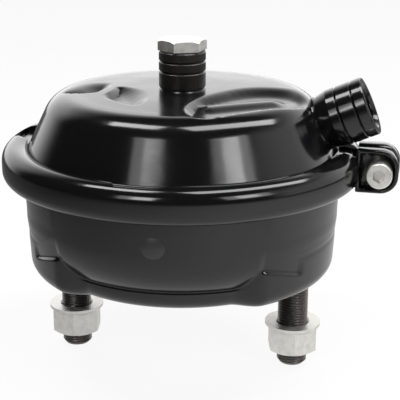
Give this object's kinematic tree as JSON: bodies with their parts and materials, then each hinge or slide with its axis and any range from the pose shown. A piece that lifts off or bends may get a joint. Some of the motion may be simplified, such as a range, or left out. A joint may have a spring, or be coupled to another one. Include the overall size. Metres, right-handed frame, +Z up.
{
  "type": "air brake chamber",
  "caption": "Round diaphragm brake chamber with two clamped shells, a tilted air port, a plugged port on top, two mounting studs and a sliding push rod.",
  "frame": {"origin": "centre of the mounting face, midway between the two studs", "axes": "+Z up the chamber axis, away from the mounting face; +X towards the right stud, the side port and the clamp screw"},
  "size_m": [0.2048, 0.186, 0.1719],
  "materials": {
    "shell_paint": "gloss black paint",
    "clamp_paint": "gloss black paint",
    "zinc_steel": "bright zinc plate",
    "stud_steel": "dark phosphated thread",
    "plug_plastic": "satin black",
    "black_rubber": "matte",
    "inner_steel": "plain pressed steel"
  },
  "bodies": {
    "housing": {"mounting_housing": "shell_paint", "pressure_housing": "shell_paint", "clamp_ring": "clamp_paint", "clamp_screw": "zinc_steel", "clamp_washer": "zinc_steel", "clamp_nut": "zinc_steel", "right_stud": "stud_steel", "left_stud": "stud_steel", "right_flange_nut": "zinc_steel", "left_flange_nut": "zinc_steel", "stud_plate": "inner_steel", "top_port_boss": "shell_paint", "top_plug_seal": "black_rubber", "top_port_plug": "zinc_steel", "side_port_boss": "shell_paint", "front_vent_plug": "plug_plastic", "rear_vent_plug": "plug_plastic", "diaphragm": "black_rubber", "return_spring": "inner_steel", "spring_seat": "inner_steel", "gaiter": "black_rubber", "gaiter_retainer": "inner_steel", "base_seal": "black_rubber"},
    "rod_assembly": {"pressure_plate": "inner_steel", "push_rod": "inner_steel", "gaiter_clip": "inner_steel"}
  },
  "joints": [
    {"name": "push_rod_slide", "type": "slide", "parent": "housing", "child": "rod_assembly", "axis": [0, 0, -1], "range_m": [0, 0.057], "stiffness_N_per_m": 1500, "springref_m": -0.05, "deforming": ["return_spring", "gaiter", "diaphragm"]}
  ]
}
